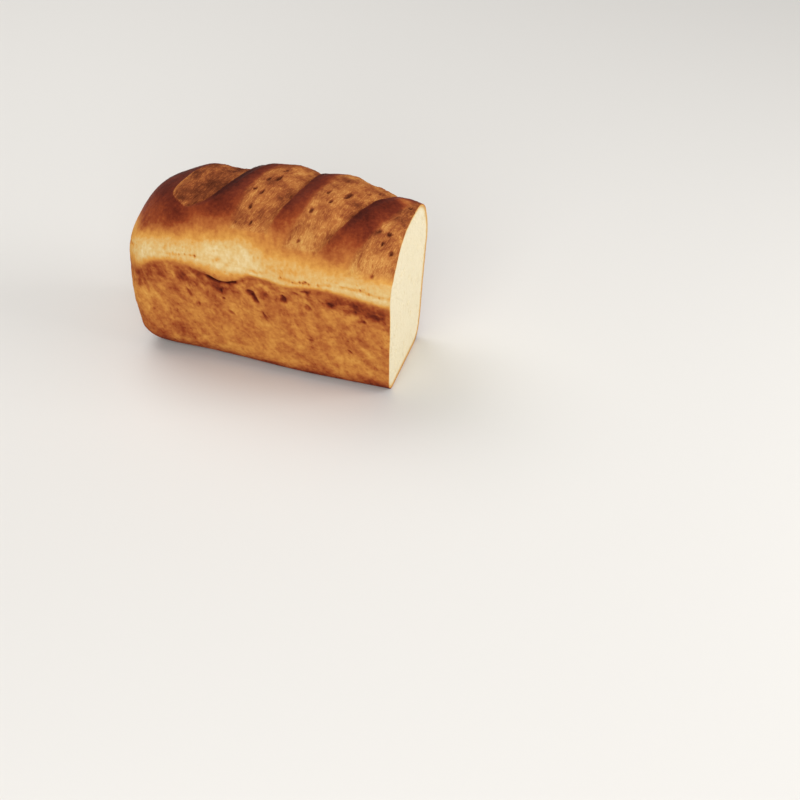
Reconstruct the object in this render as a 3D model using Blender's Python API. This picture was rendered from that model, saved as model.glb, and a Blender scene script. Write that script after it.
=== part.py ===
"""A tin loaf of white bread with four diagonal slashes, cut across near one end.

Metres, +Z up. +X runs along the loaf towards the cut face, +Y to its back, and the origin is
the middle of its bounding box at the surface it stands on.

The loaf is one solid. A cube's grid is laid on the loaf's own form: a tin-shaped foot whose
walls flare to a rim, and above the rim a dome that rose out of the tin.
"""

import math

import bmesh
import bpy
import numpy as np

MM = 0.001

# The part that the tin shaped
LENGTH = 200 * MM  # rim of the uncut end to the foot of the cut
FOOT_HALF_WIDTH = 39 * MM  # half the width at the foot, before its rounding
RIM_HALF_WIDTH = 46.8 * MM  # half the width at the tin's rim
RIM_HEIGHT = 80 * MM
END_FLARE = 7.5 * MM  # how far the uncut end leans out, foot to rim
FOOT_ROUND = 12 * MM  # rounding between the flat foot and the walls, near the cut
END_FOOT_ROUND = 21 * MM  # and near the uncut end, where the dough left the tin's corner empty
FOOT_CHANGE = (-150 * MM, -50 * MM)  # where the one gives way to the other
TIN_SQUARENESS = 7.0  # superellipse power of the tin's plan

# The dome that rose above the rim
END_RUN = 58 * MM  # length over which the uncut end closes
DOME_HEIGHT = 123 * MM
DOME_MIDDLE_RISE = 19 * MM  # extra height halfway along
DOME_CUT_DROP = 2 * MM  # height lost close to the cut
DOME_SLANT = 11 * MM  # the cut end stands this much higher than the uncut end
DOME_WIDTH_POWER = 2.8
DOME_HEIGHT_POWER = 2.35
DOME_PLAN_POWER = 2.4
END_SHOULDER = 2.5 * MM  # how far the uncut end draws in above the rim
DROP_REACH = 0.3  # share of the length over which the cut end drops

# The lip where the dough left the tin
LIP_SWELL = 1.8 * MM
LIP_HEIGHT = 91 * MM
LIP_SPREAD = 11 * MM
CREASE_DEPTH = 0.9 * MM
CREASE_HEIGHT = 79 * MM
CREASE_SPREAD = 3.5 * MM

# The cut
CUT_LEAN = math.tan(math.radians(3.2))  # its top leans away from the loaf
CUT_YAW = -math.tan(math.radians(2.5))  # its front edge stands forward

# The slashes: (lip's place along the loaf, slant, width of the opening, depth)
SLASHES = (
    (-122.5 * MM, 0.50, 43 * MM, 6.0 * MM),
    (-75.0 * MM, 0.27, 35 * MM, 4.4 * MM),
    (-30.0 * MM, 0.38, 30 * MM, 4.2 * MM),
    (21.0 * MM, 0.30, 36 * MM, 4.2 * MM),
)
SLASH_MIDDLE = -1 * MM  # where across the loaf a slash is deepest
SLASH_HALF_SPAN = 41 * MM  # from there to where it runs out
SHOULDER_RUN = 8 * MM  # the lip's steep side
SLASH_FLOOR = 96 * MM  # the slashes stay above this height

# Unevenness of a hand-made loaf
WANDER = 0.6 * MM
WANDER_LENGTH = 62 * MM

# The mesh
CELLS_LONG = 48
CELLS_WIDE = 20
CELLS_HIGH = 28
END_SHARE = -0.35  # grid coordinate where the uncut end's closing starts
LEVEL_SHARE = 0.2  # share of the straight part past which relief keeps to its own section
SEARCH_REACH = 0.2
SEARCH_STEPS = 34
PROBE = 0.05 * MM

CRUST_COLOUR = (0.45, 0.17, 0.045, 1.0)


def ease(low, high, value):
    """0 below low, 1 above high, and a smooth step between them."""
    t = np.clip((value - low) / (high - low), 0, 1)
    return t * t * (3 - 2 * t)


def hump(value, middle, spread):
    """A bell of height 1 about middle."""
    return np.exp(-(((value - middle) / spread) ** 2))


def dome_top(x):
    """Height of the dome's crown at x, where x is 0 at the cut's foot."""
    along = np.clip(-x / LENGTH, 0, 1)
    drop = np.clip(1 - along / DROP_REACH, 0, 1) ** 2
    rise = DOME_MIDDLE_RISE * np.sin(np.pi * along) + DOME_SLANT * (0.5 - along)
    return DOME_HEIGHT + rise - DOME_CUT_DROP * drop


def outside(p):
    """Below 0 inside the plain loaf, 0 on its skin and above 0 outside."""
    x, y, z = p[..., 0], p[..., 1], p[..., 2]
    up = np.clip(z / RIM_HEIGHT, 0, 1)
    foot = END_FOOT_ROUND + (FOOT_ROUND - END_FOOT_ROUND) * ease(*FOOT_CHANGE, x)
    low = np.clip((foot - z) / foot, 0, 1)
    tuck = foot * (1 - np.sqrt(1 - low * low))
    half = FOOT_HALF_WIDTH + (RIM_HALF_WIDTH - FOOT_HALF_WIDTH) * up - tuck
    end = END_RUN - END_FLARE * (1 - up) - tuck
    end -= END_SHOULDER * ease(RIM_HEIGHT, 1.35 * RIM_HEIGHT, z)
    square = ease(0.5 * RIM_HEIGHT, 1.3 * RIM_HEIGHT, z)
    power = TIN_SQUARENESS + (DOME_PLAN_POWER - TIN_SQUARENESS) * square
    past = np.clip(END_RUN - LENGTH - x, 0, None) / end
    wall = (past**power + (np.abs(y) / half) ** power) ** (1 / power)
    rise = np.clip((z - RIM_HEIGHT) / (dome_top(x) - RIM_HEIGHT), 0, None)
    shell = (wall**DOME_WIDTH_POWER + rise**DOME_HEIGHT_POWER) ** (1 / DOME_WIDTH_POWER)
    return np.where(z < 0, np.maximum(shell - 1, -z / MM), shell - 1)


def skin_normal(p):
    """Unit vectors out of the plain loaf's skin."""
    steps = np.eye(3) * PROBE
    slope = np.stack([outside(p + s) - outside(p - s) for s in steps], axis=-1)
    return slope / np.maximum(np.linalg.norm(slope, axis=-1, keepdims=True), 1e-12)


def slash_relief(p):
    """How far the slashes sink the skin: a long slope down to each lip, then a steep shoulder."""
    x, y, z = p[..., 0], p[..., 1], p[..., 2]
    reach = np.clip(np.abs(y - SLASH_MIDDLE) / SLASH_HALF_SPAN, 0, 1)
    fade = (1 - reach**3) * ease(SLASH_FLOOR, SLASH_FLOOR + 20 * MM, z)
    sink = np.zeros_like(x)
    for place, slant, width, depth in SLASHES:
        past = x - (place + slant * y)
        opening = 1 - ease(0, 0.85 * width * (0.55 + 0.45 * fade), -past)
        shoulder = 1 - ease(0, SHOULDER_RUN, past)
        sink = np.maximum(sink, depth * fade * np.where(past < 0, opening, shoulder))
    return sink


def unevenness(p):
    """Slow waves over the skin, so that no wall is dead flat."""
    turn = 2 * np.pi / WANDER_LENGTH
    x, y, z = p[..., 0], p[..., 1], p[..., 2]
    waves = np.sin(turn * (x + 0.4 * z) + 1.1) * np.cos(turn * (0.8 * z - 0.5 * y) + 0.4)
    return WANDER * waves * ease(0, 2 * FOOT_ROUND, z)


def lip_and_crease(p):
    """The swelling above the tin's rim and the fold under it."""
    z = p[..., 2]
    swell = LIP_SWELL * hump(z, LIP_HEIGHT, LIP_SPREAD)
    return swell - CREASE_DEPTH * hump(z, CREASE_HEIGHT, CREASE_SPREAD)


def loaf_points(grid):
    """Moves points of a cube from -1 to 1 onto the loaf's skin."""
    a, b, c = grid[:, 0], grid[:, 1], grid[:, 2]
    middle = DOME_HEIGHT / 2
    along = np.clip((a - END_SHARE) / (1 - END_SHARE), 0, 1)
    closing = np.clip((a - END_SHARE) / (1 + END_SHARE), -1, 0) * END_RUN
    start = np.stack([(END_RUN - LENGTH) * (1 - along), 0 * a, 0 * a + middle], axis=-1)
    on_cut = a > 1 - 1e-6
    size = np.where(on_cut, np.maximum(np.abs(b), np.abs(c)), 1.0)
    aim = np.stack([closing, b * RIM_HALF_WIDTH, c * middle], axis=-1)
    aim /= np.maximum(np.linalg.norm(aim, axis=-1, keepdims=True), 1e-9)
    near, far = np.zeros(len(a)), np.full(len(a), SEARCH_REACH)
    for _ in range(SEARCH_STEPS):
        half = (near + far) / 2
        inside = outside(start + half[:, None] * aim) < 0
        near, far = np.where(inside, half, near), np.where(inside, far, half)
    skin = start + near[:, None] * aim
    relief = lip_and_crease(skin) + unevenness(skin) - slash_relief(skin)
    sides = ease(0, FOOT_ROUND, skin[:, 2])
    push = skin_normal(skin)
    push[:, 0] *= 1 - ease(0, LEVEL_SHARE, along)
    skin += push * (relief * sides)[:, None]
    skin = start + size[:, None] * (skin - start)
    skin[skin[:, 2] < 0.02 * MM, 2] = 0
    skin[:, 0] += along * (CUT_LEAN * skin[:, 2] + CUT_YAW * skin[:, 1])
    return skin


def split_along(bm, axis, cells):
    """Divides every edge that runs along one axis into cells."""
    edges = []
    for edge in bm.edges:
        run = edge.verts[1].co - edge.verts[0].co
        if abs(run[axis]) > 0.999 * run.length:
            edges.append(edge)
    bmesh.ops.subdivide_edges(bm, edges=edges, cuts=cells - 1, use_grid_fill=True)


def merge_flat(bm, test):
    """Makes one face of all the faces whose corners all pass a test."""
    faces = [f for f in bm.faces if all(test(v) for v in f.verts)]
    bmesh.ops.dissolve_faces(bm, faces=faces, use_verts=False)


def make_crust():
    """Baked crust, golden brown with a low sheen."""
    crust = bpy.data.materials.new("baked_crust")
    crust.use_nodes = True
    shader = crust.node_tree.nodes["Principled BSDF"]
    shader.inputs["Base Color"].default_value = CRUST_COLOUR
    shader.inputs["Roughness"].default_value = 0.5
    shader.inputs["Metallic"].default_value = 0.0
    return crust


def make_loaf(collection):
    """The whole cut loaf as one closed solid."""
    bm = bmesh.new()
    bmesh.ops.create_cube(bm, size=2)
    for axis, cells in enumerate((CELLS_LONG, CELLS_WIDE, CELLS_HIGH)):
        split_along(bm, axis, cells)
    bm.verts.ensure_lookup_table()
    on_cut = {v for v in bm.verts if v.co.x > 1 - 1e-6}
    points = loaf_points(np.array([v.co for v in bm.verts]))
    middle = (points.min(axis=0) + points.max(axis=0)) / 2
    points -= (middle[0], middle[1], 0)
    for vert, point in zip(bm.verts, points):
        vert.co = point
    merge_flat(bm, lambda v: v in on_cut)
    merge_flat(bm, lambda v: v.co.z < 1e-7)
    bmesh.ops.recalc_face_normals(bm, faces=bm.faces)
    mesh = bpy.data.meshes.new("loaf")
    bm.to_mesh(mesh)
    bm.free()
    mesh.shade_smooth()
    mesh.set_sharp_from_angle(angle=math.radians(40))
    mesh.materials.append(make_crust())
    loaf = bpy.data.objects.new("loaf", mesh)
    collection.objects.link(loaf)
    return loaf


def main():
    for item in list(bpy.data.objects):
        bpy.data.objects.remove(item)
    collection = bpy.data.collections.new("tin_loaf")
    bpy.context.scene.collection.children.link(collection)
    make_loaf(collection)


main()
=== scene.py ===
"""The looks of a tin loaf of white bread, cut across near one end.

The loaf is two pieces. The crust is a thin baked shell over the whole loaf, open at the cut,
and the crumb fills it and shows there. Both are laid on one form, so they meet all round.
Lengths are in metres, +X runs along the loaf to the cut, +Y to its back and +Z up.
"""

import logging
import math
from dataclasses import dataclass, field
from enum import Enum
from functools import partial
from typing import Callable, Iterable, Sequence

import bmesh
import bpy
import numpy as np
from mathutils import Matrix, Vector

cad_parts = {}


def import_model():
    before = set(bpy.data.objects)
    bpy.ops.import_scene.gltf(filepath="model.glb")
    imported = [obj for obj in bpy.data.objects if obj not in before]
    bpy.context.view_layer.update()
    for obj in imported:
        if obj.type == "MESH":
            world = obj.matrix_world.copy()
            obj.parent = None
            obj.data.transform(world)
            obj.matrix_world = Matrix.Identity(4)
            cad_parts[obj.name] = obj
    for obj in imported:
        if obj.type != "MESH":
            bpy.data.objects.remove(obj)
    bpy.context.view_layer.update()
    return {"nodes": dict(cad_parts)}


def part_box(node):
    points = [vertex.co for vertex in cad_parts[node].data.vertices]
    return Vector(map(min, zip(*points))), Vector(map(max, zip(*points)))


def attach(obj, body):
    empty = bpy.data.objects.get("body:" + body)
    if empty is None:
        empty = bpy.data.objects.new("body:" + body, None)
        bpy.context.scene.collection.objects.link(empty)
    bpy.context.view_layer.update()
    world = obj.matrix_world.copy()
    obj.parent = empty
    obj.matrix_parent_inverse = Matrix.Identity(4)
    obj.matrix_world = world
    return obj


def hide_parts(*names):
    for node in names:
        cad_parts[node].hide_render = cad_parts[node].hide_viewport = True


MM = 0.001
END_FACE = 0.9999  # past this, a point of a block from -1 to 1 lies on its end face
ON_FLOOR = 0.02 * MM  # a foot this close to the floor stands on it
log = logging.getLogger("tin_loaf")


# ---------------------------------------------------------------------------
# Small mathematical helpers
# ---------------------------------------------------------------------------


def ease(low: float, high: float, value: np.ndarray) -> np.ndarray:
    """A smooth step.

    Args:
        low: Where the step starts, at 0.
        high: Where the step ends, at 1.
        value: The values to step.

    Returns:
        0 to 1 for each value.
    """
    t = np.clip((value - low) / (high - low), 0, 1)
    return t * t * (3 - 2 * t)


def hump(value: np.ndarray, middle: float, spread: float) -> np.ndarray:
    """A bell of height 1 about middle, which falls to a third at spread."""
    return np.exp(-(((value - middle) / spread) ** 2))


def mix(a: np.ndarray, b: np.ndarray, share: np.ndarray) -> np.ndarray:
    """a where share is 0, b where it is 1, and between them in proportion."""
    return a + (b - a) * share


def unit(vectors: np.ndarray) -> np.ndarray:
    """The vectors at length 1."""
    return vectors / np.maximum(np.linalg.norm(vectors, axis=-1, keepdims=True), 1e-12)


def follow(points: Sequence[tuple[float, float]], at: np.ndarray, soft: float) -> np.ndarray:
    """A line through a few points, rounded where it turns.

    Args:
        points: (place, value) pairs, in the order of their places.
        at: The places to read it at.
        soft: Over how long a stretch each turn is rounded.

    Returns:
        The line's value at each place.
    """
    place, value = np.array(points, dtype=float).T
    near = [np.interp(at + soft * share, place, value) for share in (-0.5, -0.25, 0, 0.25, 0.5)]
    return np.mean(near, axis=0)


class Grain:
    """Seeded unevenness: smooth noise and scattered cells, worked out for many points at once."""

    TABLE = 1024
    SWING = 1.6  # brings the gradient noise to about -1 to 1
    LAYER_SHIFT = 17.3  # in swells, so that no two layers line up
    FAR = 9.0  # further than any cell of the lattice

    def __init__(self, seed: int) -> None:
        """Shuffles the tables for one seed."""
        draw = np.random.default_rng(seed)
        self.order = draw.permutation(self.TABLE)
        self.slopes = unit(draw.normal(size=(self.TABLE, 3)))
        self.chance = draw.random((self.TABLE, 4))

    def _key(self, cell: np.ndarray) -> np.ndarray:
        """A table row for each whole-numbered cell."""
        i, j, k = (cell[:, n].astype(np.int64) for n in range(3))
        row = self.order[i % self.TABLE]
        row = self.order[(row + j) % self.TABLE]
        return self.order[(row + k) % self.TABLE]

    def smooth(self, points: np.ndarray, size: float) -> np.ndarray:
        """Gradient noise.

        Args:
            points: Where to read it.
            size: The length of one swell.

        Returns:
            About -1 to 1 for each point.
        """
        at = points / size
        cell = np.floor(at)
        part = at - cell
        bend = part * part * part * (part * (part * 6 - 15) + 10)
        total = np.zeros(len(points))
        for corner in np.ndindex(2, 2, 2):
            step = np.array(corner)
            slope = self.slopes[self._key(cell + step)]
            weight = np.prod(np.where(step, bend, 1 - bend), axis=1)
            total += weight * np.einsum("ij,ij->i", slope, part - step)
        return total * self.SWING

    def rough(self, points: np.ndarray, size: float, layers: int = 3) -> np.ndarray:
        """Noise with finer layers on it, each half the size and half the height."""
        total = np.zeros(len(points))
        for layer in range(layers):
            shift = self.LAYER_SHIFT * layer * size
            total += self.smooth(points + shift, size / 2**layer) / 2**layer
        return total / (2 - 0.5 ** (layers - 1))

    def cells(self, points: np.ndarray, size: float) -> tuple[np.ndarray, np.ndarray]:
        """Scattered cells, one in each cube of a lattice.

        Args:
            points: Where to read them.
            size: The lattice's spacing.

        Returns:
            The distance to the nearest cell's middle, in parts of size, and a number from 0
            to 1 that belongs to that cell.
        """
        at = points / size
        cell = np.floor(at)
        first = np.full(len(points), self.FAR)
        owner = np.zeros(len(points))
        for corner in np.ndindex(3, 3, 3):
            block = cell + np.array(corner) - 1
            dice = self.chance[self._key(block)]
            apart = np.linalg.norm(block + dice[:, :3] - at, axis=1)
            closer = apart < first
            owner = np.where(closer, dice[:, 3], owner)
            first = np.where(closer, apart, first)
        return first, owner

    def dents(self, points: np.ndarray, size: float, share: float, width: float) -> np.ndarray:
        """Round dents in some of the lattice's cubes.

        Args:
            points: Where to read them.
            size: The lattice's spacing.
            share: The share of cubes that hold a dent.
            width: The dent's radius, in parts of size.

        Returns:
            1 in the middle of a dent and 0 outside.
        """
        apart, owner = self.cells(points, size)
        radius = width * (0.55 + 0.75 * owner / max(share, 1e-6))
        return np.where(owner < share, 1 - ease(0.35, 1.0, apart / radius), 0.0)


# ---------------------------------------------------------------------------
# The loaf's form
# ---------------------------------------------------------------------------


EDGE_SOFT = 6  # degrees over which a slash's edges are rounded


@dataclass(frozen=True)
class Slash:
    """One diagonal slash: torn crumb that slopes down to the lip of the next strip of crust.

    Its two long edges are lines through (turn, place) pairs. The turn is the angle round
    the dome in degrees, from its crown and below 0 to the front, and the place is the distance
    along the loaf in millimetres.
    """

    edge: tuple[tuple[float, float], ...]  # where the crust starts to tear
    lip: tuple[tuple[float, float], ...]  # the overhanging edge of the next strip
    front: float  # the turn at which it runs out at the front
    back: float  # and at the back
    depth: float  # of the valley under the lip
    shade: float  # how brown the opening baked
    blend: float  # width over which skin gives way to torn crumb
    sag: float  # 1 slopes evenly to the lip, less sinks early, more bulges first
    hold: float = 5.0  # how far towards its tips the lip stays high

    def past(self, x: np.ndarray, turn: np.ndarray) -> np.ndarray:
        """How far each point is past the lip: below 0 in the opening, above 0 on the crust."""
        return x - follow(self.lip, turn, EDGE_SOFT) * MM

    def width(self, turn: np.ndarray) -> np.ndarray:
        """The opening's width at each turn."""
        gap = follow(self.lip, turn, EDGE_SOFT) - follow(self.edge, turn, EDGE_SOFT)
        return np.clip(gap, 0.5, None) * MM

    def span(self, turn: np.ndarray) -> np.ndarray:
        """1 along the middle of the slash, falling to 0 at its two tips."""
        reach = np.where(turn < 0, turn / self.front, turn / self.back)
        return 1 - np.clip(reach, 0, 1) ** self.hold


@dataclass(frozen=True)
class Skin:
    """Points of the loaf's skin, before its fine relief."""

    start: np.ndarray  # the point of the loaf's middle line that each one looks out from
    plain: np.ndarray  # on the plain form
    out: np.ndarray  # unit vectors out of it
    along: np.ndarray  # 0 where the uncut end starts to close, 1 at the cut


@dataclass(frozen=True)
class LoafForm:
    """The loaf's own shape: a tin-shaped foot, a swollen lip and a slashed dome."""

    length: float = 200 * MM
    foot_half: float = 39 * MM
    rim_half: float = 46.8 * MM
    rim_height: float = 80 * MM
    end_flare: float = 7.5 * MM
    foot_round: float = 12 * MM
    end_foot_round: float = 21 * MM
    foot_change: tuple[float, float] = (-150 * MM, -50 * MM)
    end_shoulder: float = 2.5 * MM  # how far the uncut end draws in above the rim
    shoulder_top: float = 1.35  # where it has, as a share of the rim's height
    square_change: tuple[float, float] = (0.5, 1.3)  # the plan rounds off between these shares
    tin_squareness: float = 7.0
    end_run: float = 58 * MM
    dome_height: float = 123 * MM
    middle_rise: float = 19 * MM
    cut_drop: float = 2 * MM
    drop_reach: float = 0.3
    slant_rise: float = 11 * MM
    width_power: float = 2.8
    height_power: float = 2.35
    plan_power: float = 2.4
    lip_swell: float = 1.8 * MM
    lip_height: float = 91 * MM
    lip_spread: float = 11 * MM
    cut_lean: float = math.tan(math.radians(3.2))
    cut_yaw: float = -math.tan(math.radians(2.5))
    wander: float = 0.6 * MM
    wander_length: float = 62 * MM
    end_share: float = -0.35
    level_share: float = 0.2
    search_reach: float = 0.2
    search_steps: int = 30
    probe: float = 0.05 * MM
    slashes: tuple[Slash, ...] = (
        Slash(
            edge=((-34, -150), (-33, -155), (-29, -162), (-22, -165.5), (-12, -165), (4, -160),
                  (20, -151), (50, -132)),
            lip=((-34, -149), (-31, -140.5), (-27, -135.5), (-21.8, -130.7), (-13.6, -125.7),
                 (-5, -121.7), (5.7, -117.2), (30, -109), (50, -103)),
            front=-36, back=52, depth=6.5 * MM, shade=0.66, blend=1.2 * MM, sag=0.8,
        ),
        Slash(
            edge=((-52, -118), (-46, -116), (-32, -112.6), (-16, -109.8), (3, -105.3), (12, -101),
                  (40, -88)),
            lip=((-52, -92), (-37.7, -85.4), (-24.4, -79.7), (-14.9, -75.9), (-3.6, -72.9),
                 (17, -68.7), (45, -61)),
            front=-47, back=52, depth=4.2 * MM, shade=0.60, blend=6 * MM, sag=1.5,
        ),
        Slash(
            edge=((-62, -81), (-42, -74), (-28, -68.8), (-20, -66), (-1, -62.8), (22, -57.4),
                  (45, -48)),
            lip=((-62, -60), (-54, -54), (-43, -45), (-37.4, -41.4), (-21.5, -33.9),
                 (-4.4, -28.4), (5, -25.4), (13.4, -21.2), (23, -16.4), (45, -8)),
            front=-56, back=52, depth=4.4 * MM, shade=0.53, blend=6 * MM, sag=3.0, hold=2.6,
        ),
        Slash(
            edge=((-66, -34), (-58, -31), (-47.6, -27.2), (-32, -20.8), (-23.5, -16.4),
                  (-10.7, -12.8), (15.5, -6.5), (45, 0)),
            lip=((-66, 6), (0, 24), (45, 36)),
            front=-68, back=52, depth=4.6 * MM, shade=0.57, blend=5 * MM, sag=1.5,
        ),
    )

    def dome_top(self, x: np.ndarray) -> np.ndarray:
        """Height of the crown at x, where x is 0 at the foot of the cut."""
        along = np.clip(-x / self.length, 0, 1)
        drop = np.clip(1 - along / self.drop_reach, 0, 1) ** 2
        rise = self.middle_rise * np.sin(np.pi * along) + self.slant_rise * (0.5 - along)
        return self.dome_height + rise - self.cut_drop * drop

    def outside(self, p: np.ndarray) -> np.ndarray:
        """Below 0 inside the plain loaf, 0 on its skin and above 0 outside."""
        x, y, z = p[..., 0], p[..., 1], p[..., 2]
        up = np.clip(z / self.rim_height, 0, 1)
        foot = mix(self.end_foot_round, self.foot_round, ease(*self.foot_change, x))
        low = np.clip((foot - z) / foot, 0, 1)
        tuck = foot * (1 - np.sqrt(1 - low * low))
        half = self.foot_half + (self.rim_half - self.foot_half) * up - tuck
        end = self.end_run - self.end_flare * (1 - up) - tuck
        end -= self.end_shoulder * ease(self.rim_height, self.shoulder_top * self.rim_height, z)
        low_share, high_share = self.square_change
        square = ease(low_share * self.rim_height, high_share * self.rim_height, z)
        power = self.tin_squareness + (self.plan_power - self.tin_squareness) * square
        beyond = np.clip(self.end_run - self.length - x, 0, None) / end
        wall = (beyond**power + (np.abs(y) / half) ** power) ** (1 / power)
        height = self.dome_top(x) - self.rim_height
        rise = np.clip((z - self.rim_height) / height, 0, None)
        shell = (wall**self.width_power + rise**self.height_power) ** (1 / self.width_power)
        return np.where(z < 0, np.maximum(shell - 1, -z / MM), shell - 1)

    def normals(self, p: np.ndarray) -> np.ndarray:
        """Unit vectors out of the plain skin."""
        steps = np.eye(3) * self.probe
        slope = [self.outside(p + step) - self.outside(p - step) for step in steps]
        return unit(np.stack(slope, axis=-1))

    def skin(self, grid: np.ndarray) -> Skin:
        """Lays points of a cube from -1 to 1 on the plain skin.

        Args:
            grid: Points of the cube's surface.

        Returns:
            The points on the skin, with what is needed to move them on.
        """
        a, b, c = grid.T
        middle = self.dome_height / 2
        along = np.clip((a - self.end_share) / (1 - self.end_share), 0, 1)
        closing = np.clip((a - self.end_share) / (1 + self.end_share), -1, 0)
        start = np.stack([(self.end_run - self.length) * (1 - along), 0 * a, 0 * a + middle], -1)
        aim = unit(np.stack([closing * self.end_run, b * self.rim_half, c * middle], -1))
        near, far = np.zeros(len(a)), np.full(len(a), self.search_reach)
        for _ in range(self.search_steps):
            half = (near + far) / 2
            inside = self.outside(start + half[:, None] * aim) < 0
            near, far = np.where(inside, half, near), np.where(inside, far, half)
        plain = start + near[:, None] * aim
        out = self.normals(plain)
        out[:, 0] *= 1 - ease(0, self.level_share, along)
        return Skin(start, plain, unit(out), along)

    def turn(self, p: np.ndarray) -> np.ndarray:
        """The angle round the dome at each point, in degrees: 0 at the crown, front below 0."""
        return np.degrees(np.arctan2(p[:, 1], p[:, 2] - self.rim_height))

    def slow_waves(self, p: np.ndarray) -> np.ndarray:
        """Slow waves over the skin, so that no wall is dead flat."""
        turn = 2 * np.pi / self.wander_length
        x, y, z = p.T
        waves = np.sin(turn * (x + 0.4 * z) + 1.1) * np.cos(turn * (0.8 * z - 0.5 * y) + 0.4)
        return self.wander * waves * ease(0, 2 * self.foot_round, z)

    def lean(self, points: np.ndarray, along: np.ndarray) -> np.ndarray:
        """Leans and turns the loaf's sections little by little, to those of the cut."""
        leaned = points.copy()
        leaned[:, 0] += along * (self.cut_lean * points[:, 2] + self.cut_yaw * points[:, 1])
        return leaned


# ---------------------------------------------------------------------------
# How the loaf rose and baked: relief and browning at each point of the skin
# ---------------------------------------------------------------------------


@dataclass(frozen=True)
class Scar:
    """A dark hollow left in the tin-side crust by a bubble or a fold against the tin."""

    x: float
    z: float
    wide: float
    high: float
    turn: float  # degrees
    depth: float
    dark: float


@dataclass(frozen=True)
class Pit:
    """A burst bubble in an opening, which the stretching dough drew out along the slash."""

    x: float
    turn: float  # degrees round the dome
    length: float
    width: float

    def depth(self, x: np.ndarray, turn: np.ndarray) -> np.ndarray:
        """How deep in the pit each point is, from 0 to 1."""
        round_dome = np.radians(turn - self.turn) * DOME_RADIUS / MM
        along = round_dome + 0.4 * (x / MM - self.x)
        across = (x / MM - self.x) - 0.4 * round_dome
        return 1 - ease(0.4, 1.1, np.hypot(1.2 * along / self.length, across / self.width))


@dataclass(frozen=True)
class Swell:
    """A broad rise of the dome, or a hollow in it, which can carry a painted highlight."""

    x: float
    turn: float  # degrees round the dome
    run: float  # its spread along the loaf
    sweep: float  # and round the dome, in degrees
    rise: float
    pale: float = 0.0  # how much lighter it is painted: a painted highlight

    def share(self, x: np.ndarray, turn: np.ndarray) -> np.ndarray:
        """1 in its middle, falling away round it."""
        return hump(x / MM, self.x, self.run) * hump(turn, self.turn, self.sweep)


@dataclass(frozen=True)
class Opening:
    """What the slashes did at each point."""

    torn: np.ndarray  # 1 in an opening
    sink: np.ndarray  # how far the skin sinks
    shove: np.ndarray  # how far it is pushed along the loaf, out over the valley
    lip: np.ndarray  # 1 on the lip, falling away over the skin behind it
    shade: np.ndarray  # how brown the opening baked
    across: np.ndarray  # distance from the nearest lip
    bead: np.ndarray  # 1 on the thin pale bead where the skin split cleanly


@dataclass(frozen=True)
class Baked:
    """What baking did at each point."""

    raise_by: np.ndarray  # out of the skin
    shove: np.ndarray  # sideways, along the loaf
    brown: np.ndarray  # 0 pale, 1 nearly burnt; painted shade and a painted highlight are mixed into it
    torn: np.ndarray  # 1 where crumb tore open and baked without a skin
    gloss: np.ndarray  # 1 on the glazed skin of the dome
    across: np.ndarray  # distance from the nearest slash's lip


CREASE_PLACE = -119 * MM  # the fold is sharpest here
CREASE_RUN = 22 * MM
UNDERCUT = 2.8 * MM  # from a lip back to the bottom of the valley under it
SHOVE = 1.6 * MM  # how far a lip hangs out over its valley
DOME_RADIUS = 50 * MM  # of skin for each radian round the dome
WIDE_OPENING = 9 * MM  # an opening this wide has its whole depth
CLEAN_SPLIT = 3 * MM  # a slash that blends over less than this split cleanly
SLASH_REACH = 60 * MM  # how far from a slash its own distances count
FOLD_SOFT = 7  # millimetres over which the fold is rounded where it turns
LINE_SOFT = 9  # and the other lines along the side
SHADE_SOFT = 12  # and the browning under the fold

# Lines along the loaf's side: (place along the loaf, height) in millimetres
FOLD_LINE = (
    (-215, 66), (-186, 71), (-175, 80.7), (-158, 86), (-138, 84.3), (-122, 78.8), (-112, 79.2),
    (-100, 86.6), (-88, 84.6), (-76, 81.3), (-62, 84.6), (-50, 85.7), (-21, 81), (6, 77.6),
)
PALE_FOOT = (
    (-215, 74), (-184, 83), (-167, 90.5), (-150, 93.5), (-135, 92.8), (-121, 90), (-92, 89.5),
    (-77, 87), (-49, 89), (-21, 87), (6, 85.5),
)
CRACK_LINE = (
    (-200, 85), (-175, 90.2), (-152, 93.8), (-124, 96), (-105, 93.5), (-71, 89.3), (-42, 90.8),
    (6, 90.3),
)
PALE_TOP = (
    (-215, 88), (-186, 92.5), (-163, 101.7), (-139, 103.5), (-118, 108.4), (-107, 112.5),
    (-96, 104.5), (-84, 97.5), (-74, 98.5), (-42, 96.6), (6, 97),
)
GILT_TOP = (
    (-215, 92), (-188, 97), (-168, 106), (-136, 111), (-121, 113), (-108, 119), (-94, 115),
    (-80, 111), (-64, 110), (-50, 106), (6, 104.5),
)
# How much the crust browned just under the fold: (place along the loaf, browning)
FOLD_SHADE = (
    (-215, 0.00), (-195, 0.08), (-180, 0.25), (-165, 0.20), (-150, 0.07), (-120, 0.07),
    (-95, 0.09), (-80, 0.07), (-62, 0.05), (-48, 0.11), (-20, 0.15), (6, 0.17),
)

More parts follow.
